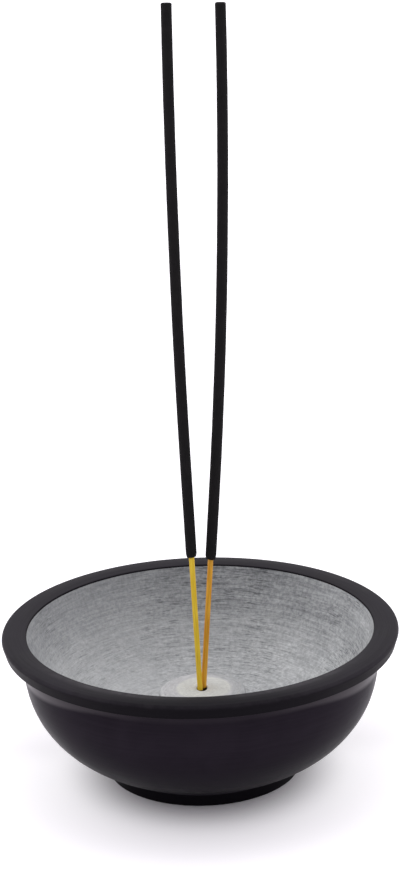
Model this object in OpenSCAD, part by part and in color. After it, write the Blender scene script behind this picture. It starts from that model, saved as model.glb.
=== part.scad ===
// Incense stick holder: a turned soapstone bowl with a pale boss in its middle.
// The boss has one drilled hole, in which two incense sticks stand crossed and lean apart.
// The origin is the middle of the foot, on the surface that the bowl stands on. +Z is up.

/* [Bowl] */
// Radius of the lip, the widest part of the bowl
lip_r = 50; // [48:0.5:60]
// Height of the bowl, from the foot to the top of the lip
bowl_h = 38.3; // [36:0.1:46]
// Width of the lip, from its edge to the mouth
lip_w = 6.3; // [6:0.1:8]
// Radius of the low crown across the lip's top
lip_crown_r = 20; // [10:1:60]
// Thickness of the lip, from its underside to its crown
lip_t = 3.7; // [3:0.1:4.6]
// How far the lip's edge draws in from top to bottom
lip_draw = 0.7; // [0:0.1:1]
// Rounding of the lip's upper outer edge
lip_edge_r = 0.9; // [0.4:0.1:1.2]
// Rounding of the lip's lower outer edge
lip_low_edge_r = 0.3; // [0.2:0.1:0.8]
// Rounding of the lip's inner edge
lip_inner_edge_r = 0.4; // [0.3:0.1:1.2]
// How far the lip hangs out over the body
lip_overhang = 5.1; // [4.6:0.1:6.4]
// Rounding between the underside of the lip and the body
neck_r = 2.8; // [1:0.1:3.6]
// Power of the curve of the body: 2 is an ellipse, and more is fuller
body_power = 2.29; // [2:0.01:3]
// Height at which the body's curve would close if the foot didn't cover it
body_close_z = -0.4; // [-1:0.02:1]

/* [Foot] */
// Radius of the foot where it stands
foot_r = 24.5; // [20:0.1:28]
// How much wider the foot is where it meets the body
foot_flare = 0.7; // [0:0.1:1]
// Rounding of the edge that the foot stands on
foot_edge_r = 0.5; // [0.2:0.1:0.8]
// Width of the ring that touches the ground
foot_ring_w = 5.5; // [4:0.1:9]
// Depth of the turned recess under the foot
foot_recess = 1.2; // [0.4:0.1:2]

/* [Inside] */
// Height of the floor above the ground
floor_z = 14; // [12:0.1:17]
// Width of the flat ring of floor around the boss
floor_ring_w = 1.2; // [0.6:0.1:5]
// Power of the curve from the floor to the lip: more is a flatter floor and a steeper wall
wall_power = 4; // [3:0.1:5]

/* [Boss] */
// Radius of the boss at its top
boss_r = 11; // [8:0.1:11.5]
// How much wider the boss is at the floor
boss_flare = 0.3; // [0:0.1:0.8]
// Height of the boss above the floor, in its middle
boss_h = 7.3; // [5:0.1:9]
// Radius of the shallow dome across the boss's top
boss_dome_r = 200; // [60:5:400]
// Rounding of the boss's top edge
boss_edge_r = 1.2; // [0.3:0.1:1.5]
// Depth of the pocket in the floor that the boss is seated in
seat_depth = 5; // [3:0.1:6]
// Gap between the boss and the wall of its pocket
seat_gap = 0.03; // [0.01:0.01:0.1]
// Stone left under the hole for the sticks
hole_base_t = 2.5; // [1.5:0.1:4]
// Room in the hole beyond two bamboo cores side by side
hole_play = 0.17; // [0.14:0.01:0.3]

/* [Sticks] */
// Radius of the bamboo core
core_r = 0.7; // [0.5:0.01:0.8]
// Radius of the rolled paste
paste_r = 1.33; // [1.15:0.01:1.5]
// How far the core stops short of the paste's tip
tip_cover = 1.5; // [1:0.1:3]
// How far the edge of the paste's tip is broken
tip_edge = 0.3; // [0.1:0.05:0.4]
// Length over which the paste thins out at its lower end
paste_taper_l = 1; // [0.8:0.1:5]
// Thickness of the paste at its thin lower end
paste_thin = 0.4; // [0.1:0.01:0.4]
// Gap between the paste and its core
paste_gap = 0.01; // [0.01:0.01:0.05]
// Gap between the two cores where they cross
pair_gap = 0.06; // [0.04:0.01:0.12]
// Gap between a core and the wall of the hole
wall_gap = 0.03; // [0.02:0.01:0.06]
// Gap between a core's foot and the bottom of the hole
foot_gap = 0.05; // [0.02:0.01:0.1]

/* [Left stick] */
// Length of the left stick
left_stick_l = 182.9; // [150:0.1:230]
// Lean of the left stick, in degrees
left_lean = 1.7; // [0:0.01:4]
// Bare length of the left stick's bamboo
left_bare_l = 45.4; // [38:0.1:55]
// How far the left stick stays straight above its bare length
left_straight_paste_l = 21.8; // [6:0.1:40]
// How far the left stick turns back above its straight length, in degrees
left_bend = 2.4; // [0.5:0.02:6]

/* [Right stick] */
// Length of the right stick
right_stick_l = 182.7; // [150:0.1:230]
// Lean of the right stick, in degrees
right_lean = 4.56; // [0:0.01:5]
// Bare length of the right stick's bamboo
right_bare_l = 44.3; // [38:0.1:55]
// How far the right stick stays straight above its bare length
right_straight_paste_l = 17.9; // [6:0.1:40]
// How far the right stick turns back above its straight length, in degrees
right_bend = 4.56; // [0.5:0.02:6]

/* [Hidden] */
$fn = 96;
// How far every cut runs past the face that it starts from
overrun = 1;
// Steps in a rounded edge, across the lip's crown and the boss's dome, and in the long curves
edge_steps = 6;
crown_steps = 4;
dome_steps = 5;
curve_steps = 28;
// Steps along a stick's bend, and around a stick
bend_steps = 24;
round_steps = 48;

// The body's curve, from its widest place under the lip down to the foot
body_r = lip_r - lip_overhang;
body_top_z = bowl_h - lip_t - neck_r;
foot_top_r = foot_r + foot_flare;
body_turn = acos(pow(foot_top_r / body_r, body_power / 2));

// The lip's crown is highest at its middle, and runs into the roundings of both its edges
mouth_r = lip_r - lip_w;
crown_x = lip_r - lip_w / 2;
crown_z = bowl_h - lip_crown_r;
outer_turn = asin((lip_r - lip_edge_r - crown_x) / (lip_crown_r - lip_edge_r));
inner_turn = asin((crown_x - mouth_r - lip_inner_edge_r) / (lip_crown_r - lip_inner_edge_r));
lip_edge_z = crown_z + (lip_crown_r - lip_edge_r) * cos(outer_turn);

// The inside, from the lip down to the floor
wall_top_z = crown_z + (lip_crown_r - lip_inner_edge_r) * cos(inner_turn);
recess_r = foot_r - foot_ring_w;

// The boss and its pocket in the floor
seat_r = boss_r + boss_flare;
boss_bottom_z = floor_z - seat_depth;
boss_top_z = floor_z + boss_h;
floor_r = seat_r + floor_ring_w;
hole_bottom_z = boss_bottom_z + hole_base_t;

// The boss's dome runs into the rounding of its edge, which has its middle here
dome_turn = asin((boss_r - boss_edge_r) / (boss_dome_r - boss_edge_r));
boss_edge_z = boss_top_z - boss_dome_r + (boss_dome_r - boss_edge_r) * cos(dome_turn);

// The hole is as wide as two cores side by side, with room for them to lean
pair_y = core_r + pair_gap / 2;
hole_r = core_r + pair_y + hole_play;
// How far a core's middle line can stand from the hole's, along X
lean_x = sqrt(pow(pair_y + hole_play - wall_gap, 2) - pow(pair_y, 2));

// How far up each stick is straight
left_straight_l = left_bare_l + left_straight_paste_l;
right_straight_l = right_bare_l + right_straight_paste_l;

// Points along an arc about [x, z], from one angle to another
function arc(x, z, r, from, to) =
    [for (i = [0 : edge_steps]) let (a = from + (to - from) * i / edge_steps) [x + r * cos(a), z + r * sin(a)]];

// The body from the foot up to its widest place
function body_curve() =
    [for (i = [0 : curve_steps]) let (t = body_turn * (1 - i / curve_steps))
        [body_r * pow(cos(t), 2 / body_power),
         body_top_z - (body_top_z - body_close_z) * pow(sin(t), 2 / body_power)]];

// The inside from the lip down to the edge of the flat floor
function wall_curve() =
    [for (i = [0 : curve_steps]) let (u = cos(90 * i / curve_steps))
        [floor_r + (mouth_r - floor_r) * u, floor_z + (wall_top_z - floor_z) * pow(u, wall_power)]];

function foot_profile() = concat(
    [[0, foot_recess], [recess_r - foot_recess, foot_recess], [recess_r, 0]],
    arc(foot_r - foot_edge_r, foot_edge_r, foot_edge_r, -90, 0));

function lip_profile() = concat(
    arc(body_r + neck_r, body_top_z, neck_r, 180, 90),
    arc(lip_r - lip_draw - lip_low_edge_r, bowl_h - lip_t + lip_low_edge_r, lip_low_edge_r, -90, 0),
    arc(lip_r - lip_edge_r, lip_edge_z, lip_edge_r, 0, 90 - outer_turn),
    [for (i = [1 : crown_steps - 1]) let (a = outer_turn - (outer_turn + inner_turn) * i / crown_steps)
        [crown_x + lip_crown_r * sin(a), crown_z + lip_crown_r * cos(a)]],
    arc(mouth_r + lip_inner_edge_r, wall_top_z, lip_inner_edge_r, 90 + inner_turn, 180));

// The boss's side and rounded edge, and then its dome up to the middle
function boss_profile() = concat(
    [[0, boss_bottom_z], [seat_r, boss_bottom_z], [seat_r, floor_z]],
    arc(boss_r - boss_edge_r, boss_edge_z, boss_edge_r, 0, 90 - dome_turn),
    [for (i = [1 : dome_steps]) let (a = dome_turn * (1 - i / dome_steps))
        [boss_dome_r * sin(a), boss_top_z - boss_dome_r * (1 - cos(a))]]);

// The bowl, turned as one piece of stone, with the boss's pocket in its floor
module bowl() {
    color("#2b292d")
    difference() {
        rotate_extrude()
        polygon(concat(foot_profile(), body_curve(), lip_profile(), wall_curve(), [[0, floor_z]]));
        translate([0, 0, boss_bottom_z])
        cylinder(r = seat_r + seat_gap, h = seat_depth + overrun);
    }
}

// The pale boss: a turned plug that stands in its pocket, with the blind hole for the sticks
module centre_boss() {
    color("#c4c3c0")
    difference() {
        rotate_extrude()
        polygon(boss_profile());
        translate([0, 0, hole_bottom_z])
        cylinder(r = hole_r, h = boss_top_z - hole_bottom_z + overrun);
    }
}

// How tightly a stick is bent above its straight length
function bend_radius(stick_l, straight_l, bend) = (stick_l - straight_l) / (bend * PI / 180);

// Each stick is made upright: straight up +Z from its foot, and then bent in the XZ plane.
// Distances are measured from the foot. Side is 1 for a bend towards -X, and -1 for one towards +X.

// A round rod along the stick, from one distance to another
module rod(r, from, to, stick_l, straight_l, bend, side) {
    bend_r = bend_radius(stick_l, straight_l, bend);
    turn = bend * (to - straight_l) / (stick_l - straight_l);
    translate([0, 0, from])
    cylinder(r = r, h = straight_l - from, $fn = round_steps);
    translate([-side * bend_r, 0, straight_l])
    rotate([90, 0, side > 0 ? 0 : 180])
    rotate_extrude(angle = turn, $fn = ceil(bend_steps * 360 / turn))
    translate([bend_r, 0])
    circle(r = r, $fn = round_steps);
}

// Puts its children at the stick's tip, with +Z along the stick
module at_tip(stick_l, straight_l, bend, side) {
    bend_r = bend_radius(stick_l, straight_l, bend);
    translate([-side * bend_r, 0, straight_l])
    rotate([0, -side * bend, 0])
    translate([side * bend_r, 0, 0])
    children();
}

// Stands a stick in the hole: side is -1 for the left stick, in front, and 1 for the right one
module stand(side, lean) {
    foot_z = hole_bottom_z + foot_gap + core_r * sin(lean);
    foot_x = lean_x - (boss_top_z - foot_z) * tan(lean);
    translate([side * foot_x, side * pair_y, foot_z])
    rotate([0, side * lean, 0])
    children();
}

// The bamboo core, which ends inside the paste's tip
module bamboo(stick_l, straight_l, bend, side) {
    rod(core_r, 0, stick_l - tip_cover, stick_l, straight_l, bend, side);
}

// The rolled paste, which thins out at its lower end and has its tip's edge broken
module paste(stick_l, bare_l, straight_l, bend, side) {
    bore_r = core_r + paste_gap;
    difference() {
        union() {
            translate([0, 0, bare_l])
            cylinder(r1 = bore_r + paste_thin, r2 = paste_r, h = paste_taper_l, $fn = round_steps);
            rod(paste_r, bare_l + paste_taper_l, stick_l, stick_l, straight_l, bend, side);
        }
        rod(bore_r, bare_l - overrun, stick_l - tip_cover, stick_l, straight_l, bend, side);
        at_tip(stick_l, straight_l, bend, side)
        rotate_extrude($fn = round_steps)
        polygon([
            [paste_r + tip_edge, -2 * tip_edge], [paste_r + tip_edge, tip_edge],
            [paste_r - 2 * tip_edge, tip_edge]]);
    }
}

module left_bamboo() {
    color("#c9a53c")
    stand(-1, left_lean)
    bamboo(left_stick_l, left_straight_l, left_bend, -1);
}

module left_paste() {
    color("#17161a")
    stand(-1, left_lean)
    paste(left_stick_l, left_bare_l, left_straight_l, left_bend, -1);
}

module right_bamboo() {
    color("#d39a3a")
    stand(1, right_lean)
    bamboo(right_stick_l, right_straight_l, right_bend, 1);
}

module right_paste() {
    color("#17161a")
    stand(1, right_lean)
    paste(right_stick_l, right_bare_l, right_straight_l, right_bend, 1);
}

bowl();
centre_boss();
left_bamboo();
left_paste();
right_bamboo();
right_paste();
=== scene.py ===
"""A turned soapstone bowl with a pale boss, and the two incense sticks that stand in it.

Outlines are in millimetres, as a turner would mark them, and become metres when a mesh is made.
The pieces are turned about their own middle lines, so one function makes all of them.
"""

import math

import bpy
import numpy as np
from mathutils import Matrix, Vector


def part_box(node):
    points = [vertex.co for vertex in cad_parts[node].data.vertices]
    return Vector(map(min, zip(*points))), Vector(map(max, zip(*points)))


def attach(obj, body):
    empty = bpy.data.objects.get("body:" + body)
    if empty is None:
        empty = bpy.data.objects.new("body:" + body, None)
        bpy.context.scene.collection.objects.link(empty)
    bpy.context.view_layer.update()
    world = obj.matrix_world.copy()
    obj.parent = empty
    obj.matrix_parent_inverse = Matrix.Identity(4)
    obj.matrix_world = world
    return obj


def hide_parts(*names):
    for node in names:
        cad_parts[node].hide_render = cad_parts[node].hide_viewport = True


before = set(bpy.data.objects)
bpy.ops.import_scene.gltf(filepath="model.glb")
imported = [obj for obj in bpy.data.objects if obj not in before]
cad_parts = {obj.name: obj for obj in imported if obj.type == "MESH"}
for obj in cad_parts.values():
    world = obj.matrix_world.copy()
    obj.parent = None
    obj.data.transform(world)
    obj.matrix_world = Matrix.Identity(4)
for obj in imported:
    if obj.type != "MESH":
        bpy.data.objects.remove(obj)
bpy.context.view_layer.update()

MM = 0.001
FULL_TURN = 2 * math.pi
SAME_POINT = 1e-6
CURVE_POINTS = 400
SHARP_ANGLE = math.radians(40)
BOWL_SIDES, BOSS_SIDES, CORE_SIDES, PASTE_SIDES = 320, 192, 24, 32

# ---- Sizes in mm: from the frame where a box gives them, else the same as in the part's source ----


def box_mm(node):
    """The lowest and highest corners of a CAD node, in mm."""
    low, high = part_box(node)
    return low / MM, high / MM


_, bowl_high = box_mm("bowl")
boss_low, boss_high = box_mm("centre_boss")
core_low, core_high = box_mm("right_bamboo")
paste_low, paste_high = box_mm("right_paste")

# Lip and body
lip_r = bowl_high.x
bowl_h = bowl_high.z
lip_w = 6.3
lip_crown_r = 20
lip_t = 3.7
lip_draw = 0.7
lip_edge_r = 0.9
lip_low_edge_r = 0.3
lip_inner_edge_r = 0.4
lip_overhang = 5.1
neck_r = 2.8
body_power = 2.29
body_close_z = -0.4
body_r = lip_r - lip_overhang
body_top_z = bowl_h - lip_t - neck_r
mouth_r = lip_r - lip_w
crown_x, crown_z = lip_r - lip_w / 2, bowl_h - lip_crown_r
outer_turn = math.asin((lip_r - lip_edge_r - crown_x) / (lip_crown_r - lip_edge_r))
inner_turn = math.asin((crown_x - mouth_r - lip_inner_edge_r) / (lip_crown_r - lip_inner_edge_r))
lip_edge_z = crown_z + (lip_crown_r - lip_edge_r) * math.cos(outer_turn)
wall_top_z = crown_z + (lip_crown_r - lip_inner_edge_r) * math.cos(inner_turn)

# Foot
foot_r = 24.5
foot_flare = 0.7
foot_edge_r = 0.5
foot_ring_w = 5.5
foot_recess = 1.2
foot_top_r = foot_r + foot_flare
recess_r = foot_r - foot_ring_w

# Boss, its hole and its pocket
seat_r = boss_high.x
seat_gap = 0.03
boss_flare = 0.3
boss_r = seat_r - boss_flare
boss_edge_r = 1.2
boss_dome_r = 200
boss_top_z = boss_high.z
boss_bottom_z = boss_low.z
seat_depth = 5
floor_z = boss_bottom_z + seat_depth
floor_ring_w = 1.2
floor_r = seat_r + floor_ring_w
wall_power = 4
hole_base_t = 2.5
hole_bottom_z = boss_bottom_z + hole_base_t
hole_play = 0.17
wall_gap = 0.03

# Sticks
core_r = (core_high.y - core_low.y) / 2
paste_r = (paste_high.y - paste_low.y) / 2
pair_y = (core_high.y + core_low.y) / 2
hole_r = core_r + pair_y + hole_play
tip_cover = 1.5
tip_edge = 0.3
paste_taper_l = 1
paste_thin = 0.4
paste_gap = 0.01
foot_gap = 0.05
lean_x = math.sqrt((pair_y + hole_play - wall_gap) ** 2 - pair_y ** 2)

# side: -1 leans to the left and stands in front, 1 leans to the right and stands behind
LEFT = dict(side=-1, lean=1.7, stick_l=182.9, bare_l=45.4, straight_paste_l=21.8, bend=2.4)
RIGHT = dict(side=1, lean=4.56, stick_l=182.7, bare_l=44.3, straight_paste_l=17.9, bend=4.56)


# ---- Turned meshes ----


def arc(r, z, radius, start, end, count=40):
    """Points of an arc about (r, z), from one angle to another in degrees."""
    a = np.radians(np.linspace(start, end, count))
    return np.stack([r + radius * np.cos(a), z + radius * np.sin(a)], 1)


def spaced(points, spacing):
    """The same line with points no more than spacing apart, measured along it."""
    points = np.asarray(points, float)
    along = np.concatenate([[0], np.cumsum(np.hypot(*np.diff(points, axis=0).T))])
    count = max(2, math.ceil(along[-1] / spacing) + 1)
    marks = np.linspace(0, along[-1], count)
    return np.stack([np.interp(marks, along, points[:, k]) for k in range(2)], 1)


class Outline:
    """The line that a turned piece is made from.

    It comes in stretches, and each is a name, a line, and the spacing of its points in mm.
    """

    def __init__(self, *stretches):
        points, names = [], []
        for name, line, spacing in stretches:
            line = spaced(line, spacing)
            if points and np.hypot(*(line[0] - points[-1])) < SAME_POINT:
                line = line[1:]
            points += list(line)
            names += [name] * len(line)
        self.points = np.array(points)
        self.names = np.array(names)
        steps = np.hypot(*np.diff(self.points, axis=0).T)
        self.along = np.concatenate([[0], np.cumsum(steps)])

    def is_in(self, *names):
        """Which points belong to the stretches with these names."""
        return np.isin(self.names, names)

    def outward(self):
        """The direction away from the material at each point."""
        slope = np.gradient(self.points, self.along, axis=0)
        slope /= np.hypot(*slope.T)[:, None]
        return np.stack([slope[:, 1], -slope[:, 0]], 1)

    def turned(self, sides, shift):
        """Radius and height of every point of the turned surface, moved out by shift(line, along, around)."""
        angle = np.arange(sides) * FULL_TURN / sides
        along, around = np.meshgrid(self.along, angle, indexing="ij")
        moved = shift(self, along, around)
        moved[0] = moved[-1] = 0        # both ends stay on the middle line
        out = self.outward()
        r = self.points[:, :1] + out[:, :1] * moved
        z = self.points[:, 1:] + out[:, 1:] * moved
        return r, z, around


def upright(r, z, around):
    """Places turned points about the vertical middle line of the bowl."""
    return r * np.cos(around), r * np.sin(around), z


def turned_piece(name, r, z, around, place, materials, material_of):
    """A closed mesh from rings of turned points. The first and last rings are the ends of the middle line."""
    x, y, height = place(r, z, around)
    rings, sides = r.shape
    middle = np.stack([x[1:-1], y[1:-1], height[1:-1]], 2).reshape(-1, 3)
    ends = [[x[k, 0], y[k, 0], height[k, 0]] for k in (0, -1)]
    points = np.concatenate([[ends[0]], middle, [ends[1]]]) * MM

    step = np.arange(sides)
    after = (step + 1) % sides
    last = len(points) - 1
    faces = [(0, 1 + b, 1 + a) for a, b in zip(step, after)]
    for k in range(rings - 3):
        low, high = 1 + k * sides, 1 + (k + 1) * sides
        faces += zip(low + step, low + after, high + after, high + step)
    top = 1 + (rings - 3) * sides
    faces += [(top + a, top + b, last) for a, b in zip(step, after)]

    mesh = bpy.data.meshes.new(name)
    mesh.from_pydata(points.tolist(), [], [tuple(int(i) for i in f) for f in faces])
    for material in materials:
        mesh.materials.append(material)
    mesh.polygons.foreach_set("material_index", np.repeat(material_of[:rings - 1], sides).astype(np.int32))
    mesh.shade_smooth()
    mesh.set_sharp_from_angle(angle=SHARP_ANGLE)
    mesh.update()
    piece = bpy.data.objects.new(name, mesh)
    bpy.context.scene.collection.objects.link(piece)
    return piece


def cloudy(random, along, around, length, cells):
    """Soft values from -1 to 1, length mm to a cell along the outline and without a seam round it."""
    u = (along - along.min()) / length
    v = around / FULL_TURN * cells
    grid = random.uniform(-1, 1, (int(u.max()) + 3, cells))
    row, column = np.floor(u).astype(int), np.floor(v).astype(int)
    u, v = u - row, v - column
    u, v = u * u * (3 - 2 * u), v * v * (3 - 2 * v)
    near = grid[row, column % cells] * (1 - u) + grid[row + 1, column % cells] * u
    far = grid[row, (column + 1) % cells] * (1 - u) + grid[row + 1, (column + 1) % cells] * u
    return near * (1 - v) + far * v


def scraped(random, along, around, count, width, drift, longest):
    """How deep, from 0 to 1.5, a number of scraper marks go. They run round the piece and fade at their ends."""
    shortest_share, narrowest_share, widest_share, faintest, deepest = 0.25, 0.6, 1.4, 0.3, 1.5
    marks = np.zeros_like(along)
    low, high = along.min(), along.max()
    for _ in range(count):
        place, middle = random.uniform(low, high), random.uniform(0, FULL_TURN)
        half = random.uniform(shortest_share, 1) * longest / 2
        turn = (around - middle + math.pi) % FULL_TURN - math.pi
        aslant = drift * random.normal() * turn
        across = (along - place - aslant) / (width * random.uniform(narrowest_share, widest_share))
        marks += random.uniform(faintest, 1) * np.clip(1 - (turn / half) ** 2, 0, 1) * np.exp(-across ** 2)
    return np.clip(marks, 0, deepest)


# ---- The bowl ----


def body_line():
    """The body's outline, from the foot up to the neck."""
    end = math.acos((foot_top_r / body_r) ** (body_power / 2))
    t = np.linspace(end, 0, CURVE_POINTS)
    return np.stack([body_r * np.cos(t) ** (2 / body_power),
                     body_top_z - (body_top_z - body_close_z) * np.sin(t) ** (2 / body_power)], 1)


def wall_line():
    """The inside wall, from the mouth down to the floor."""
    u = np.linspace(1, 0, CURVE_POINTS)
    return np.stack([floor_r + (mouth_r - floor_r) * u,
                     floor_z + (wall_top_z - floor_z) * u ** wall_power], 1)


def bowl_outline():
    """From the middle of the underside, out over the lip, and in to the middle of the boss's pocket."""
    body = body_line()
    pocket_r = seat_r + seat_gap
    lip_low_z = bowl_h - lip_t
    lip_low_r = lip_r - lip_draw - lip_low_edge_r
    from_edge, to_mouth = 90 - math.degrees(outer_turn), 90 + math.degrees(inner_turn)
    return Outline(
        ("underside", [(0, foot_recess), (recess_r - foot_recess, foot_recess)], 2),
        ("underside", [(recess_r - foot_recess, foot_recess), (recess_r, 0)], 0.6),
        ("stand", [(recess_r, 0), (foot_r - foot_edge_r, 0)], 1),
        ("foot", arc(foot_r - foot_edge_r, foot_edge_r, foot_edge_r, -90, 0), 0.12),
        ("foot", [(foot_r, foot_edge_r), body[0]], 0.4),
        ("body", body, 0.55),
        ("neck", arc(body_r + neck_r, body_top_z, neck_r, 180, 90), 0.2),
        ("neck", [(body_r + neck_r, lip_low_z), (lip_low_r, lip_low_z)], 0.2),
        ("lip", arc(lip_low_r, lip_low_z + lip_low_edge_r, lip_low_edge_r, -90, 0), 0.12),
        ("lip", [(lip_r - lip_draw, lip_low_z + lip_low_edge_r), (lip_r, lip_edge_z)], 0.3),
        ("lip", arc(lip_r - lip_edge_r, lip_edge_z, lip_edge_r, 0, from_edge), 0.14),
        ("lip", arc(crown_x, crown_z, lip_crown_r, from_edge, to_mouth), 0.3),
        ("lip", arc(mouth_r + lip_inner_edge_r, wall_top_z, lip_inner_edge_r, to_mouth, 180), 0.12),
        ("inside", wall_line(), 0.3),
        ("inside", [(floor_r, floor_z), (pocket_r, floor_z)], 0.3),
        ("pocket", [(pocket_r, floor_z), (pocket_r, boss_bottom_z)], 1),
        ("pocket", [(pocket_r, boss_bottom_z), (0, boss_bottom_z)], 3),
    )


def bowl_shift(line, along, around):
    """How far the bowl's surface stands off its outline, in mm: burnished smooth outside, scraped inside."""
    random = np.random.default_rng(7)
    smooth_wave, smooth_ripple = 0.045, 0.012
    scraped_wave, scraped_ripple, mark_depth = 0.16, 0.035, 0.055
    smooth_below_mouth, smooth_round_boss = 2.5, 1.5
    outside = -smooth_wave * (1 + cloudy(random, along, around, length=7, cells=14)) / 2
    outside -= smooth_ripple * (1 + cloudy(random, along, around, length=0.8, cells=9)) / 2
    inside = scraped_wave * cloudy(random, along, around, length=9, cells=9)
    inside += scraped_ripple * cloudy(random, along, around, length=0.75, cells=7)
    rows = line.is_in("inside")
    inside[rows] -= mark_depth * scraped(random, along[rows], around[rows],
                                         count=420, width=0.32, drift=0.35, longest=1.3)
    fade = np.clip((line.along - line.along[rows][0]) / smooth_below_mouth, 0, 1)
    fade *= np.clip((line.along[rows][-1] - line.along) / smooth_round_boss, 0, 1)
    moved = np.zeros_like(along)
    rubbed = line.is_in("foot", "body", "neck", "lip")
    moved[rubbed] = outside[rubbed]
    moved[rows] = (inside * fade[:, None] + outside * (1 - fade[:, None]))[rows]
    return moved


def make_bowl():
    """The bowl, with one finish on its body and foot, one on its lip and one inside."""
    line = bowl_outline()
    r, z, around = line.turned(BOWL_SIDES, bowl_shift)
    r, z = np.clip(r, 0, lip_r), np.clip(z, 0, bowl_h)
    finish = line.is_in("lip") + 2 * line.is_in("inside", "pocket")
    bowl = turned_piece("stone_bowl", r, z, around, upright,
                        [burnished_body(), burnished_lip(), scraped_stone()], finish[1:])
    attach(bowl, "holder")
    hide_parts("bowl")


# ---- The boss ----


def boss_outline():
    """From the middle of the boss's foot, up its side, over its top and down into its hole."""
    hole_wear = 0.15
    dome_z = boss_top_z - boss_dome_r
    edge_turn = math.asin((boss_r - boss_edge_r) / (boss_dome_r - boss_edge_r))
    edge_z = dome_z + (boss_dome_r - boss_edge_r) * math.cos(edge_turn)
    mouth_turn = math.asin((hole_r + hole_wear) / boss_dome_r)
    from_edge, to_mouth = 90 - math.degrees(edge_turn), 90 - math.degrees(mouth_turn)
    return Outline(
        ("seated", [(0, boss_bottom_z), (seat_r, boss_bottom_z)], 1.5),
        ("seated", [(seat_r, boss_bottom_z), (seat_r, floor_z)], 0.8),
        ("side", [(seat_r, floor_z), (boss_r, edge_z)], 0.3),
        ("edge", arc(boss_r - boss_edge_r, edge_z, boss_edge_r, 0, from_edge), 0.13),
        ("top", arc(0, dome_z, boss_dome_r, from_edge, to_mouth), 0.2),
        ("mouth", arc(hole_r + hole_wear, boss_top_z - hole_wear, hole_wear, 90, 180), 0.07),
        ("hole", [(hole_r, boss_top_z - hole_wear), (hole_r, hole_bottom_z)], 0.3),
        ("hole", [(hole_r, hole_bottom_z), (0, hole_bottom_z)], 0.5),
    )


def worn_mouth(r, z, around):
    """The hole's mouth: snug beside the sticks, and broken away in front of them."""
    snug, broken, reach, depth, slack = 0.3, 0.6, 1.6, 1.6, 0.01
    front = np.clip(-np.sin(around), 0, 1) ** 4
    beside = np.cos(around) ** 4
    near = np.clip(1 - (r - hole_r) / reach, 0, 1) * np.clip(1 - (boss_top_z - z) / depth, 0, 1)
    return np.where(r >= hole_r - slack, r + (broken * front - snug * beside) * near, r)


def boss_shift(line, along, around):
    """How far the boss stands off its outline: a little out of round, with a worn and chipped top edge."""
    random = np.random.default_rng(11)
    out_of_round, rough, finer_share, chip, mark_depth = 0.22, 0.05, 0.6, 0.3, 0.05
    edge_w, whole_share, seated_h, mouth_w = 1.1, 0.35, 1.0, 0.6
    near_edge = np.exp(-((line.along - line.along[line.is_in("edge")].mean()) / edge_w) ** 2)
    moved = rough * cloudy(random, along, around, length=0.7, cells=40)
    moved += finer_share * rough * cloudy(random, along, around, length=0.35, cells=90)
    chips = np.clip(cloudy(random, around * 0, around, length=1, cells=34) - whole_share, 0, 1)
    moved -= chip * chips * near_edge[:, None]
    on_top = line.is_in("top", "edge")
    moved[on_top] -= mark_depth * scraped(random, along[on_top], around[on_top],
                                          count=70, width=0.25, drift=0.4, longest=2.0)
    side = line.is_in("side", "edge")
    moved[side] += out_of_round * cloudy(random, around * 0, around, length=1, cells=7)[side]
    above = np.clip((line.points[:, 1] - floor_z) / seated_h, 0, 1)
    free = above * np.clip((line.points[:, 0] - hole_r) / mouth_w, 0, 1)
    return moved * free[:, None]


def make_boss():
    """The pale boss, seated in its pocket, with the hole that the sticks stand in."""
    line = boss_outline()
    r, z, around = line.turned(BOSS_SIDES, boss_shift)
    z = np.clip(z, boss_bottom_z, boss_top_z)
    r = worn_mouth(r, z, around)
    boss = turned_piece("stone_boss", r, z, around, upright, [boss_stone()], np.zeros(len(r), int))
    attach(boss, "holder")
    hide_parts("centre_boss")


# ---- The sticks ----


def along_stick(side, lean, stick_l, bare_l, straight_paste_l, bend):
    """Places turned points about a stick's middle line: straight from the foot, then bent back."""
    lean, bend = math.radians(lean), math.radians(bend)
    straight_l = bare_l + straight_paste_l
    bend_r = (stick_l - straight_l) / bend
    foot_z = hole_bottom_z + foot_gap + core_r * math.sin(lean)
    foot_x = side * (lean_x - (boss_top_z - foot_z) * math.tan(lean))

    def place(r, s, around):
        turn = np.clip(s - straight_l, 0, None) / bend_r
        up = np.minimum(s, straight_l)
        a = lean - turn
        x = foot_x + side * (up * math.sin(lean) + bend_r * (np.cos(a) - math.cos(lean)))
        z = foot_z + up * math.cos(lean) + bend_r * (math.sin(lean) - np.sin(a))
        return (x + r * np.cos(around) * np.cos(a),
                side * pair_y + r * np.sin(around),
                z - side * r * np.cos(around) * np.sin(a))
    return place


def bamboo_outline(stick_l):
    """A stick's core, from the middle of its foot to the middle of its top, with finer points where it is bare."""
    cut_edge, fine_l = 0.08, 60
    top = stick_l - tip_cover
    return Outline(
        ("foot", [(0, 0), (core_r - cut_edge, 0)], 0.2),
        ("foot", [(core_r - cut_edge, 0), (core_r, cut_edge)], 0.08),
        ("bare", [(core_r, cut_edge), (core_r, fine_l)], 0.4),
        ("covered", [(core_r, fine_l), (core_r, top)], 3),
        ("covered", [(core_r, top), (0, top)], 0.4),
    )


def bamboo_shift(seed, bare_l):
    """Split bamboo: nearly round, with flats and fibres that run along it. Nothing stands proud."""
    flat, fibre, fade_l = 0.02, 0.014, 1.0

    def shift(line, along, around):
        random = np.random.default_rng(seed)
        moved = -flat * (1 + cloudy(random, along, around, length=30, cells=4)) / 2
        moved -= fibre * (1 + cloudy(random, along, around, length=5, cells=16)) / 2
        bare = np.clip((bare_l - line.points[:, 1]) / fade_l, 0, 1)
        return moved * bare[:, None]
    return shift


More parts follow.
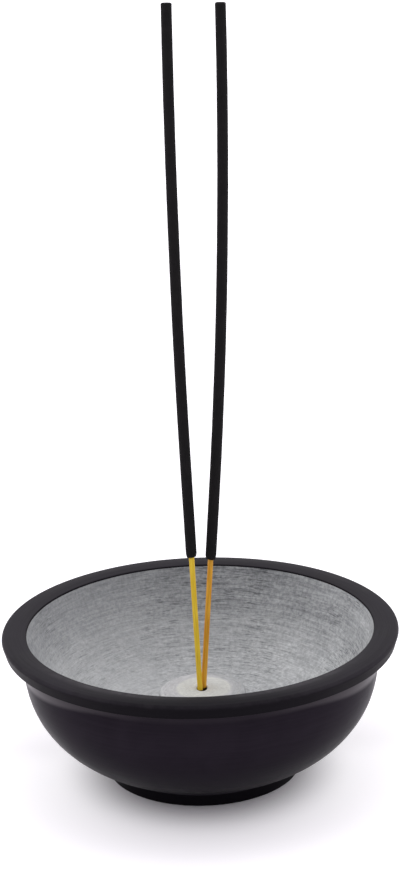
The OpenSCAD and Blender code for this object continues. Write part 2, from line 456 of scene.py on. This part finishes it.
def paste_outline(stick_l, bare_l):
    """A stick's paste, from the top of its bore, down round its lower end and up to its tip."""
    bore_r = core_r + paste_gap
    bore_top = stick_l - tip_cover
    fine_top = bare_l + 6
    taper_top = bare_l + paste_taper_l
    lower_r = bore_r + paste_thin
    return Outline(
        ("bore", [(0, bore_top), (bore_r, bore_top)], 0.4),
        ("bore", [(bore_r, bore_top), (bore_r, fine_top)], 3),
        ("bore", [(bore_r, fine_top), (bore_r, bare_l)], 0.5),
        ("end", [(bore_r, bare_l), (lower_r, bare_l)], 0.06),
        ("taper", [(lower_r, bare_l), (paste_r, taper_top)], 0.25),
        ("roll", [(paste_r, taper_top), (paste_r, stick_l - tip_edge)], 0.55),
        ("tip", arc(paste_r - tip_edge, stick_l - tip_edge, tip_edge, 0, 90), 0.1),
        ("tip", [(paste_r - tip_edge, stick_l), (0, stick_l)], 0.2),
    )


def paste_shift(seed, stick_l):
    """Rolled paste: lumpy and dry, and a little thicker low down, where it was dipped last."""
    lump, grit, thicker, dipped_l = 0.03, 0.025, 0.07, 95

    def shift(line, along, around):
        random = np.random.default_rng(seed)
        low = np.clip((stick_l - line.points[:, 1]) / dipped_l, 0, 1)
        moved = thicker * low[:, None] - lump * (1 + cloudy(random, along, around, length=4, cells=5)) / 2
        moved -= grit * (1 + cloudy(random, along, around, length=0.6, cells=14)) / 2
        moved[line.is_in("bore", "end")] = 0
        return moved
    return shift


def make_stick(body, core_node, paste_node, core_material, paste_material, seed, shape):
    """One stick: its bamboo core, and its paste with a ragged lower end."""
    end_lift, end_ragged, ragged_l = 0.1, 0.2, 3
    place = along_stick(**shape)
    line = bamboo_outline(shape["stick_l"])
    r, s, around = line.turned(CORE_SIDES, bamboo_shift(seed, shape["bare_l"]))
    core = turned_piece(core_node + "_core", r, s, around, place, [core_material], np.zeros(len(r), int))
    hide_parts(core_node)

    line = paste_outline(shape["stick_l"], shape["bare_l"])
    r, s, around = line.turned(PASTE_SIDES, paste_shift(seed + 1, shape["stick_l"]))
    ragged = end_ragged * cloudy(np.random.default_rng(seed + 2), around * 0, around, length=1, cells=6)
    lower = np.clip(1 - (line.points[:, 1] - shape["bare_l"]) / ragged_l, 0, 1)
    s = s + (ragged + end_lift) * lower[:, None]
    paste = turned_piece(paste_node + "_roll", r, s, around, place, [paste_material], np.zeros(len(r), int))
    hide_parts(paste_node)
    for piece in (core, paste):
        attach(piece, body)


# ---- Node helpers ----


def tone(red, green, blue):
    """A colour as it is read off a screen, 0 to 255, for a shader."""
    def linear(v):
        v /= 255
        return v / 12.92 if v <= 0.04045 else ((v + 0.055) / 1.055) ** 2.4
    return (linear(red), linear(green), linear(blue), 1)


class Tree:
    """Short calls for a node tree."""

    def __init__(self, tree):
        self.tree = tree
        self.tree.nodes.clear()

    def add(self, kind, values=None, **settings):
        node = self.tree.nodes.new(kind)
        for key, value in settings.items():
            setattr(node, key, value)
        for key, value in (values or {}).items():
            self.feed(node.inputs[key], value)
        return node

    def feed(self, socket, value):
        if isinstance(value, bpy.types.NodeSocket):
            self.tree.links.new(value, socket)
        else:
            socket.default_value = value

    def math(self, operation, *values):
        """One step of arithmetic. The short calls below name the steps in use."""
        node = self.add("ShaderNodeMath", operation=operation)
        for socket, value in zip(node.inputs, values):
            self.feed(socket, value)
        return node.outputs[0]

    def plus(self, a, b):
        return self.math("ADD", a, b)

    def minus(self, a, b):
        return self.math("SUBTRACT", a, b)

    def times(self, a, b):
        return self.math("MULTIPLY", a, b)

    def over(self, a, b):
        return self.math("DIVIDE", a, b)

    def larger(self, a, b):
        return self.math("MAXIMUM", a, b)

    def smaller(self, a, b):
        return self.math("MINIMUM", a, b)

    def squared(self, a):
        return self.math("POWER", a, 2)

    def unsigned(self, a):
        return self.math("ABSOLUTE", a)

    def diagonal(self, a, b):
        """The length of a step that goes a one way and b across it."""
        return self.math("SQRT", self.plus(self.squared(a), self.squared(b)))

    def scale(self, vector, by):
        node = self.add("ShaderNodeVectorMath", {"Vector": vector}, operation="SCALE")
        self.feed(node.inputs["Scale"], by)
        return node.outputs[0]

    def part_mm(self, place, axis):
        """One coordinate of a point: 0 is X, 1 is Y and 2 is Z."""
        return self.add("ShaderNodeSeparateXYZ", {0: self.scale(place, 1 / MM)}).outputs[axis]

    def aside_mm(self, place):
        """How far a point lies to the right of the bowl's middle."""
        return self.part_mm(place, 0)

    def behind_mm(self, place):
        """How far a point lies behind the bowl's middle; in front of it the number is negative."""
        return self.part_mm(place, 1)

    def height_mm(self, place):
        """How high a point lies above the ground."""
        return self.part_mm(place, 2)

    def distance_mm(self, place, x=0):
        """How far a point lies from the upright line through x, in the bowl's middle plane."""
        return self.diagonal(self.minus(self.aside_mm(place), x), self.behind_mm(place))

    def noise(self, vector, scale=1, detail=2, roughness=0.5, distortion=0):
        """Soft random values from 0 to 1."""
        node = self.add("ShaderNodeTexNoise", {"Vector": vector, "Scale": scale, "Detail": detail,
                                               "Roughness": roughness, "Distortion": distortion})
        return node.outputs["Fac"]

    def between(self, value, low, high, to_low=0, to_high=1):
        """Spreads low..high over to_low..to_high, with soft ends."""
        node = self.add("ShaderNodeMapRange", {"Value": value, "From Min": low, "From Max": high,
                                               "To Min": to_low, "To Max": to_high},
                        interpolation_type="SMOOTHSTEP")
        return node.outputs["Result"]

    def mix(self, factor, first, second, blend="MIX"):
        node = self.add("ShaderNodeMix", data_type="RGBA", blend_type=blend)
        self.feed(node.inputs["Factor"], factor)
        self.feed(node.inputs[6], first)
        self.feed(node.inputs[7], second)
        return node.outputs[2]

    def tinted(self, colour, mask, share, tint, blend="MIX"):
        """The colour with a share of a tint where the mask is 1."""
        return self.mix(self.times(mask, share), colour, tint, blend)

    def group(self, group, **values):
        node = self.add("ShaderNodeGroup", node_tree=group)
        for key, value in values.items():
            self.feed(node.inputs[key.replace("_", " ")], value)
        return node.outputs


def new_group(name, inputs, outputs):
    """An empty shader node group. inputs: name -> starting value, or None for a vector. outputs: names."""
    group = bpy.data.node_groups.new(name, "ShaderNodeTree")
    for key, value in inputs.items():
        kind = "NodeSocketVector" if value is None else "NodeSocketFloat"
        socket = group.interface.new_socket(key, in_out="INPUT", socket_type=kind)
        if value is not None:
            socket.default_value = value
    for key in outputs:
        group.interface.new_socket(key, in_out="OUTPUT", socket_type="NodeSocketFloat")
    tree = Tree(group)
    return group, tree, tree.add("NodeGroupInput").outputs, tree.add("NodeGroupOutput").inputs


def new_material(name, **sockets):
    """A material with one Principled BSDF. sockets are the numbers that are the same all over."""
    material = bpy.data.materials.new(name)
    material.use_nodes = True
    tree = Tree(material.node_tree)
    shader = tree.add("ShaderNodeBsdfPrincipled")
    for key, value in sockets.items():
        shader.inputs[key.replace("_", " ")].default_value = value
    end = tree.add("ShaderNodeOutputMaterial")
    tree.feed(end.inputs["Surface"], shader.outputs["BSDF"])
    place = tree.add("ShaderNodeTexCoord").outputs["Object"]
    return material, tree, shader.inputs, place


def bump(tree, height, depth_mm):
    """Relief in the shading. The height runs from 0 to 1, and 1 stands depth_mm above 0."""
    node = tree.add("ShaderNodeBump", {"Height": height, "Distance": depth_mm * MM, "Strength": 1})
    return node.outputs["Normal"]


# ---- Shared effects ----


def make_turned_lines():
    """Fine broken lines that run round the piece, as a scraper or a polishing cloth leaves them."""
    typical_r, wander_scale = 30, 5
    group, tree, given, put = new_group(
        "turned_lines", {"Place": None, "Line Width": 0.3, "Line Length": 8.0, "Wander": 0.5}, ["Lines"])
    part = tree.add("ShaderNodeSeparateXYZ", {0: tree.scale(given["Place"], 1 / MM)}).outputs
    flat = tree.add("ShaderNodeCombineXYZ", {0: part[0], 1: part[1]}).outputs[0]
    radius = tree.add("ShaderNodeVectorMath", {0: flat}, operation="LENGTH").outputs["Value"]
    heading = tree.add("ShaderNodeVectorMath", {0: flat}, operation="NORMALIZE").outputs[0]
    drift = tree.times(tree.noise(tree.scale(heading, wander_scale), 1, 1), given["Wander"])
    across = tree.over(tree.plus(tree.plus(radius, part[2]), drift), given["Line Width"])
    rise = tree.add("ShaderNodeCombineXYZ", {2: across}).outputs[0]
    round_it = tree.scale(heading, tree.over(typical_r, given["Line Length"]))
    point = tree.add("ShaderNodeVectorMath", {0: round_it, 1: rise}, operation="ADD").outputs[0]
    tree.feed(put["Lines"], tree.between(tree.noise(point, 1, 3, 0.62), 0.32, 0.68))
    return group


def make_stone_clouds():
    """Slow clouds and fine grain, which every piece of the stone has."""
    group, tree, given, put = new_group(
        "stone_clouds", {"Place": None, "Cloud Size": 12.0, "Grain Size": 0.5}, ["Clouds", "Grain"])
    place = tree.scale(given["Place"], 1 / MM)
    clouds = tree.noise(tree.scale(place, tree.over(1, given["Cloud Size"])), 1, 4, 0.55, 0.6)
    grain = tree.noise(tree.scale(place, tree.over(1, given["Grain Size"])), 1, 2, 0.7)
    tree.feed(put["Clouds"], tree.between(clouds, 0.3, 0.7))
    tree.feed(put["Grain"], tree.between(grain, 0.25, 0.75))
    return group


def make_edge_highlight():
    """A broken band along a round edge, for a painted highlight there. 1 on the edge, 0 away from it."""
    group, tree, given, put = new_group(
        "edge_highlight", {"Place": None, "Edge Radius": 50.0, "Edge Height": 38.0, "Band Width": 1.0}, ["Rubbed"])
    aside = tree.minus(tree.distance_mm(given["Place"]), given["Edge Radius"])
    above = tree.minus(tree.height_mm(given["Place"]), given["Edge Height"])
    near = tree.minus(1, tree.over(tree.diagonal(aside, above), given["Band Width"]))
    broken = tree.between(tree.noise(tree.scale(given["Place"], 1 / MM), 0.35, 3, 0.6), 0.35, 0.65, 0.35, 1)
    tree.feed(put["Rubbed"], tree.times(tree.between(near, 0, 1), broken))
    return group


def make_bamboo_fibres():
    """Fibres along a stick. Lean is the sideways run of the stick for each mm of height."""
    group, tree, given, put = new_group(
        "bamboo_fibres", {"Place": None, "Lean": 0.0, "Fibre Width": 0.2, "Fibre Length": 7.0}, ["Fibres", "Stain"])
    place = tree.scale(given["Place"], 1 / MM)
    part = tree.add("ShaderNodeSeparateXYZ", {0: place}).outputs
    across = tree.minus(part[0], tree.times(part[2], given["Lean"]))
    fine = tree.add("ShaderNodeCombineXYZ", {
        0: tree.over(across, given["Fibre Width"]),
        1: tree.over(part[1], given["Fibre Width"]),
        2: tree.over(part[2], given["Fibre Length"])}).outputs[0]
    tree.feed(put["Fibres"], tree.between(tree.noise(fine, 1, 2, 0.6), 0.3, 0.7))
    tree.feed(put["Stain"], tree.between(tree.noise(tree.scale(place, 0.16), 1, 2, 0.5), 0.35, 0.65))
    return group


TURNED_LINES = make_turned_lines()
STONE_CLOUDS = make_stone_clouds()
EDGE_HIGHLIGHT = make_edge_highlight()
BAMBOO_FIBRES = make_bamboo_fibres()


def lines_in(tree, place, width, length, wander):
    """Turned lines from 0 to 1, with their width, their length and how far they wander, in mm."""
    return tree.group(TURNED_LINES, Place=place, Line_Width=width, Line_Length=length, Wander=wander)["Lines"]


def clouds_in(tree, place, cloud_size, grain_size):
    """Clouds and grain of one size in mm, each from 0 to 1."""
    return tree.group(STONE_CLOUDS, Place=place, Cloud_Size=cloud_size, Grain_Size=grain_size)


def edge_highlight_at(tree, place, radius, height, width):
    """Where a round edge of this radius and height gets a painted highlight, from 0 to 1."""
    return tree.group(EDGE_HIGHLIGHT, Place=place, Edge_Radius=radius, Edge_Height=height, Band_Width=width)["Rubbed"]


def stone_relief(tree, lines, grain, lines_share, depth_mm):
    """The relief of lines and grain together."""
    return bump(tree, tree.plus(tree.times(lines, lines_share), tree.times(grain, 1 - lines_share)), depth_mm)


# ---- Finishes ----


def burnished(shader, tree, place, dark, pale, streak, rough):
    """Oiled and burnished soapstone, nearly black, with a trace of the polishing. Returns its colour."""
    duller, streak_share = 0.08, 0.35
    cloud = clouds_in(tree, place, 14, 0.45)
    lines = lines_in(tree, place, 0.45, 16, 1.2)
    tree.feed(shader["Roughness"], tree.between(cloud["Clouds"], 0, 1, rough, rough + duller))
    tree.feed(shader["Normal"], stone_relief(tree, lines, cloud["Grain"], 0.6, depth_mm=0.006))
    return tree.tinted(tree.mix(cloud["Clouds"], dark, pale), lines, streak_share, streak)


def burnished_body():
    """The outside of the bowl: satin, with a painted highlight and a gloss coat under the lip, painted shade darker
    down to the foot, a thin painted highlight along the top of the foot and painted shade on its side.
    """
    material, tree, shader, place = new_material("burnished_body", Specular_IOR_Level=0.02, Coat_Roughness=0.3)
    colour = burnished(shader, tree, place, tone(32, 27, 35), tone(37, 32, 40), tone(41, 36, 44), rough=0.3)
    up, aside = tree.height_mm(place), tree.unsigned(tree.aside_mm(place))

    # A painted highlight: a pale band of sheen, with a gloss coat where it lies, starts at the lip. Towards the
    # left and right sides it reaches lower and shows more.
    sheen_z, sheen_w, side_drop, side_w = body_top_z + 0.3, 1.2, 3.5, 1.7
    lower_from, lower_to, above_share = 22, 50, 0.3
    shown_from, shown_to, front_share = 10, 46, 0.12
    middle = tree.between(aside, lower_from, lower_to, sheen_z, sheen_z - side_drop)
    below, above = tree.minus(middle, up), tree.minus(up, middle)
    away = tree.larger(below, tree.times(above, above_share))
    near = tree.over(away, tree.between(aside, lower_from, lower_to, sheen_w, side_w))
    painted_sheen = tree.times(tree.between(near, 1, 0), tree.between(aside, shown_from, shown_to, front_share, 1))
    colour = tree.tinted(colour, painted_sheen, 0.7, tone(72, 65, 71))
    tree.feed(shader["Coat Weight"], tree.times(painted_sheen, 0.45))

    # Painted shade makes it darker lower down, a thin painted highlight runs along the top of the foot, and painted
    # shade darkens the foot's side below it.
    foot_top_z = body_line()[0][1]
    darker_h, darkest_share, bead_highlight_w, blur = 22, 0.75, 0.3, 0.1
    low_down = tree.between(up, foot_top_z, foot_top_z + darker_h, darkest_share, 0)
    colour = tree.mix(low_down, colour, tone(8, 6, 11))
    bead_highlight = tree.between(up, foot_top_z + blur / 2, foot_top_z - blur)
    colour = tree.mix(bead_highlight, colour, tone(52, 49, 55))
    on_foot = tree.between(up, foot_top_z - bead_highlight_w + blur, foot_top_z - bead_highlight_w - blur)
    tree.feed(shader["Base Color"], tree.mix(on_foot, colour, tone(18, 16, 20)))
    return material


def burnished_lip():
    """The lip: dull on its crown, with painted highlights along both edges, and painted shade in front, on its side
    and round the mouth.
    """
    material, tree, shader, place = new_material("burnished_lip", Specular_IOR_Level=0.035)
    colour = burnished(shader, tree, place, tone(37, 34, 39), tone(45, 42, 48), tone(50, 47, 53), rough=0.42)
    aside, behind = tree.unsigned(tree.aside_mm(place)), tree.behind_mm(place)

    # Painted shade on the lip's side and round the mouth's inner edge, and more of it in front.
    shaded_lip_side = tree.between(tree.height_mm(place), bowl_h - 0.5, bowl_h - 1.2)
    shaded_mouth_edge = tree.between(tree.distance_mm(place), mouth_r + 0.35, mouth_r + 0.1)
    colour = tree.mix(tree.larger(shaded_lip_side, shaded_mouth_edge), colour, tone(19, 16, 21))
    colour = tree.tinted(colour, tree.between(behind, -38, -48), 0.65, tone(14, 12, 17))

    # A painted highlight along the inner edge in front, to both sides of the middle.
    inner = edge_highlight_at(tree, place, mouth_r + 1.5, bowl_h - 0.1, 1.7)
    highlit_front = tree.times(tree.between(aside, 3, 16), tree.between(behind, -18, -36))
    colour = tree.tinted(colour, tree.times(inner, highlit_front), 0.4, tone(84, 80, 86))
    # A painted highlight along the outer edge.
    outer = edge_highlight_at(tree, place, lip_r - 0.3, lip_edge_z + 0.6, 1.1)
    tree.feed(shader["Base Color"], tree.tinted(colour, outer, 0.2, tone(62, 58, 63)))
    return material


def scraped_stone():
    """The same stone left bare and scraped: grey, dry and full of fine lines, with painted light low down and on
    the right, and painted shade on the left.
    """
    material, tree, shader, place = new_material("scraped_grey_stone", Specular_IOR_Level=0.2)
    cloud = clouds_in(tree, place, 8, 0.9)
    patches = clouds_in(tree, place, 20, 1)["Clouds"]
    fine = lines_in(tree, place, 0.5, 4.5, 0.8)
    broad = lines_in(tree, place, 1.6, 24, 2.5)
    scratch = lines_in(tree, place, 0.35, 2.2, 0.6)
    aside = tree.aside_mm(place)

    # Painted light makes the stone paler low down and on the right. The scraping is fainter there, and on the left
    # as well.
    low_down = tree.between(tree.height_mm(place), wall_top_z, floor_z + 2)
    painted_light_share = tree.larger(low_down, tree.between(aside, 14, 42, 0, 0.5))
    worked = tree.times(tree.between(painted_light_share, 0, 1, 1, 0.7), tree.between(aside, -30, 20, 0.6, 1))
    colour = tree.mix(painted_light_share, tone(190, 191, 194), tone(229, 230, 232))
    # Painted shade darkens the left.
    colour = tree.mix(tree.between(aside, 40, -36), colour, tone(229, 229, 230), "MULTIPLY")
    for mask, share, shade in ((cloud["Clouds"], 0.3, tone(186, 187, 190)),
                               (fine, 0.4, tone(150, 151, 154)),
                               (broad, 0.4, tone(186, 187, 190)),
                               (cloud["Grain"], 0.6, tone(144, 145, 148))):
        colour = tree.tinted(colour, tree.times(mask, share), worked, shade, "MULTIPLY")
    scratched = tree.times(tree.between(scratch, 0.6, 0.95), tree.between(patches, 0.3, 0.8, 0.1, 0.7))
    colour = tree.tinted(colour, scratched, worked, tone(118, 120, 124), "MULTIPLY")

    seam = tree.between(tree.distance_mm(place), seat_r + 0.55, seat_r + 0.15)
    colour = tree.tinted(colour, seam, tree.between(patches, 0.2, 0.6), tone(84, 82, 84))
    tree.feed(shader["Base Color"], colour)
    tree.feed(shader["Roughness"], tree.between(fine, 0, 1, 0.78, 0.92))
    tree.feed(shader["Normal"], stone_relief(tree, fine, cloud["Grain"], 0.6, depth_mm=0.06))
    return material


def boss_stone():
    """Paler stone: a clean disc round the hole, a grey ring beside it, a painted highlight on the edge, a greyer
    right side, and painted shade on the side and in the hole.
    """
    disc_r, disc_aside, grey_from_r, grey_centre_aside, ragged_w = 6.9, 0.5, 9.4, 1.9, 0.6
    material, tree, shader, place = new_material("pale_boss_stone", Specular_IOR_Level=0.2)
    cloud = clouds_in(tree, place, 5, 0.5)
    lines = lines_in(tree, place, 0.4, 6, 1.0)
    up = tree.height_mm(place)
    colour = tree.mix(cloud["Clouds"], tone(204, 204, 201), tone(222, 222, 218))
    colour = tree.tinted(colour, lines, 0.4, tone(180, 180, 181))
    colour = tree.tinted(colour, cloud["Grain"], 0.3, tone(170, 170, 172))

    ringed = tree.between(tree.distance_mm(place, disc_aside), disc_r - 0.3, disc_r + 0.5)
    ring_tone = tree.mix(lines, tone(172, 171, 177), tone(200, 199, 204))
    colour = tree.tinted(colour, ringed, 0.75, ring_tone)
    # A painted highlight along the rounded top edge.
    edge = edge_highlight_at(tree, place, boss_r - 0.3, boss_top_z - 0.7, 1.5)
    colour = tree.tinted(colour, edge, 0.7, tone(226, 226, 226))

    # The right side is greyer, with a ragged border.
    border = tree.between(cloud["Clouds"], 0, 1, -ragged_w, ragged_w)
    out_from_left = tree.plus(tree.distance_mm(place, -grey_centre_aside), border)
    greyer_right = tree.between(out_from_left, grey_from_r - 0.4, grey_from_r + 0.6)
    greyer_right_tone = tree.mix(lines, tone(158, 159, 162), tone(180, 181, 184))
    colour = tree.tinted(colour, greyer_right, 0.8, greyer_right_tone)

    # Painted shade on the boss's side, below its top edge.
    shaded_boss_side = tree.between(up, boss_top_z - 0.8, boss_top_z - 1.5)
    colour = tree.tinted(colour, shaded_boss_side, 0.7, tone(116, 116, 119))
    # Painted shade inside the mouth of the hole.
    beside_hole = tree.between(tree.distance_mm(place), hole_r + 1.6, hole_r + 0.4)
    in_hole = tree.between(up, boss_top_z - 0.2, boss_top_z - 0.7)
    colour = tree.tinted(colour, beside_hole, in_hole, tone(38, 34, 32))
    tree.feed(shader["Base Color"], colour)
    tree.feed(shader["Roughness"], tree.between(cloud["Grain"], 0, 1, 0.75, 0.9))
    tree.feed(shader["Normal"], stone_relief(tree, lines, cloud["Grain"], 0.5, depth_mm=0.05))
    return material


def dyed_bamboo(name, lean, pale, deep, stain):
    """Split bamboo, dyed through, with a ring of painted shade where it stands in the mouth of the hole."""
    shade_from, shade_full, shade_thin, shade_gone = 0, 0.4, 2, 3
    material, tree, shader, place = new_material(name, Specular_IOR_Level=0.35)
    fibre = tree.group(BAMBOO_FIBRES, Place=place, Lean=lean, Fibre_Width=0.22, Fibre_Length=9)
    colour = tree.tinted(tree.mix(fibre["Fibres"], deep, pale), fibre["Stain"], 0.35, stain)
    # Painted shade on the core, just inside the hole.
    sunk = tree.minus(boss_top_z, tree.height_mm(place))
    hole_shade = tree.times(tree.between(sunk, shade_from, shade_full), tree.between(sunk, shade_gone, shade_thin))
    tree.feed(shader["Base Color"], tree.mix(hole_shade, colour, tone(40, 30, 20)))
    tree.feed(shader["Roughness"], tree.between(fibre["Fibres"], 0, 1, 0.62, 0.5))
    tree.feed(shader["Normal"], bump(tree, fibre["Fibres"], depth_mm=0.04))
    return material


def incense_paste():
    """Charcoal paste rolled on and dried: matt black with a dusty grain."""
    material, tree, shader, place = new_material("rolled_incense_paste", Specular_IOR_Level=0.15)
    cloud = clouds_in(tree, place, 3, 0.25)
    colour = tree.mix(cloud["Clouds"], tone(16, 15, 17), tone(23, 21, 23))
    tree.feed(shader["Base Color"], tree.tinted(colour, cloud["Grain"], 0.5, tone(33, 31, 32)))
    tree.feed(shader["Roughness"], tree.between(cloud["Grain"], 0, 1, 0.8, 0.95))
    tree.feed(shader["Normal"], bump(tree, cloud["Grain"], depth_mm=0.08))
    return material


# ---- Floor, light and camera ----


def seen_directly(tree):
    """1 where a ray from the camera, a reflection or a clear piece meets the surface, and 0 for plain light."""
    path = tree.add("ShaderNodeLightPath").outputs
    seen = tree.larger(path["Is Camera Ray"], path["Is Glossy Ray"])
    return tree.larger(seen, path["Is Transmission Ray"])


def make_floor():
    """A wide pale floor. It keeps the bowl's soft shadow, and farther out it lifts to white with painted light: a
    glow, seen directly and in reflections, that also sets how far the shadow reaches.
    """
    reach_m, count = 4.0, 48
    white_lift, near_mm, far_mm, earlier_mm = 0.48, 22, 42, 3
    front_share, front_near_mm, front_far_mm = 0.48, 45, 75
    back_share, back_near_mm, back_far_mm, back_from_mm = 0.2, 50, 64, 15
    mesh = bpy.data.meshes.new("floor")
    a = np.arange(count) * FULL_TURN / count
    rim = [(reach_m * math.cos(t), reach_m * math.sin(t), 0) for t in a]
    mesh.from_pydata([(0, 0, 0)] + rim, [], [(0, 1 + i, 1 + (i + 1) % count) for i in range(count)])
    floor = bpy.data.objects.new("floor", mesh)
    bpy.context.scene.collection.objects.link(floor)
    material, tree, shader, place = new_material("pale_floor", Specular_IOR_Level=0, Roughness=1)
    soft = tree.noise(tree.scale(place, 6), 1, 2)
    tree.feed(shader["Base Color"], tree.mix(soft, tone(244, 240, 247), tone(248, 243, 251)))
    shader["Emission Color"].default_value = (1, 1, 1, 1)

    # The painted light starts near the bowl. It comes a little earlier at the sides, and later in front and behind.
    away, behind = tree.distance_mm(place), tree.behind_mm(place)
    facing = tree.squared(tree.smaller(tree.over(behind, away), 0))
    kept_front = tree.times(facing, tree.between(away, front_near_mm, front_far_mm, front_share, 0))
    kept_back = tree.times(tree.between(behind, 0, back_from_mm),
                           tree.between(away, back_near_mm, back_far_mm, back_share, 0))
    beside = tree.times(tree.minus(1, facing), earlier_mm)
    lift = tree.between(tree.plus(away, beside), near_mm, far_mm, 0, white_lift)
    lift = tree.times(lift, tree.minus(1, tree.plus(kept_front, kept_back)))
    tree.feed(shader["Emission Strength"], tree.times(seen_directly(tree), lift))
    mesh.materials.append(material)


def make_light():
    """A white studio tent, brighter at its two sides and overhead, and darker where the photographer stands."""
    level, side_lift, overhead_lift, front_loss = 0.72, 1.1, 0.4, 0.5
    world = bpy.data.worlds.new("studio")
    bpy.context.scene.world = world
    world.use_nodes = True
    tree = Tree(world.node_tree)
    direction = tree.add("ShaderNodeTexCoord").outputs["Generated"]
    part = tree.add("ShaderNodeSeparateXYZ", {0: direction}).outputs
    side = tree.times(tree.squared(part[0]), side_lift)
    overhead = tree.times(tree.squared(tree.larger(part[2], 0)), overhead_lift)
    front = tree.times(tree.smaller(part[1], 0), front_loss)
    strength = tree.times(tree.plus(level, tree.plus(side, overhead)), tree.plus(1, front))
    tent = tree.add("ShaderNodeBackground", {"Color": (1, 1, 1, 1), "Strength": strength})
    white = tree.add("ShaderNodeBackground", {"Color": (1, 1, 1, 1), "Strength": 1})
    mixed = tree.add("ShaderNodeMixShader", {0: seen_directly(tree)})
    tree.feed(mixed.inputs[1], tent.outputs[0])
    tree.feed(mixed.inputs[2], white.outputs[0])
    tree.feed(tree.add("ShaderNodeOutputWorld").inputs["Surface"], mixed.outputs[0])


def make_camera():
    """The photograph's view: 17.6 degrees down, turned a little, through a long lens."""
    pitch, roll = math.radians(17.612), math.radians(1.806)
    aim = Vector((1.53, 0, 88.47)) * MM
    distance = 600 * MM
    focal_px, tall_px, sensor_mm = 2440.4, 871, 36
    right = Vector((1, 0, 0))
    up = Vector((0, math.sin(pitch), math.cos(pitch)))
    back = Vector((0, -math.cos(pitch), math.sin(pitch)))
    across = right * math.cos(roll) - up * math.sin(roll)
    upward = right * math.sin(roll) + up * math.cos(roll)
    data = bpy.data.cameras.new("camera")
    data.sensor_fit = "AUTO"
    data.sensor_width = sensor_mm
    data.lens = sensor_mm * focal_px / tall_px
    data.clip_start, data.clip_end = 0.05, 20
    camera = bpy.data.objects.new("camera", data)
    bpy.context.scene.collection.objects.link(camera)
    turn = Matrix((across, upward, back)).transposed().to_4x4()
    camera.matrix_world = Matrix.Translation(aim + back * distance) @ turn
    bpy.context.scene.camera = camera


bpy.context.scene.view_settings.view_transform = "Standard"
make_camera()
make_light()
make_floor()
make_bowl()
make_boss()
paste = incense_paste()
yellow = dyed_bamboo("yellow_bamboo", -math.tan(math.radians(LEFT["lean"])),
                     tone(252, 216, 66), tone(218, 174, 24), tone(228, 190, 44))
orange = dyed_bamboo("orange_bamboo", math.tan(math.radians(RIGHT["lean"])),
                     tone(242, 184, 62), tone(202, 134, 24), tone(220, 156, 38))
make_stick("left_stick", "left_bamboo", "left_paste", yellow, paste, 21, LEFT)
make_stick("right_stick", "right_bamboo", "right_paste", orange, paste, 31, RIGHT)
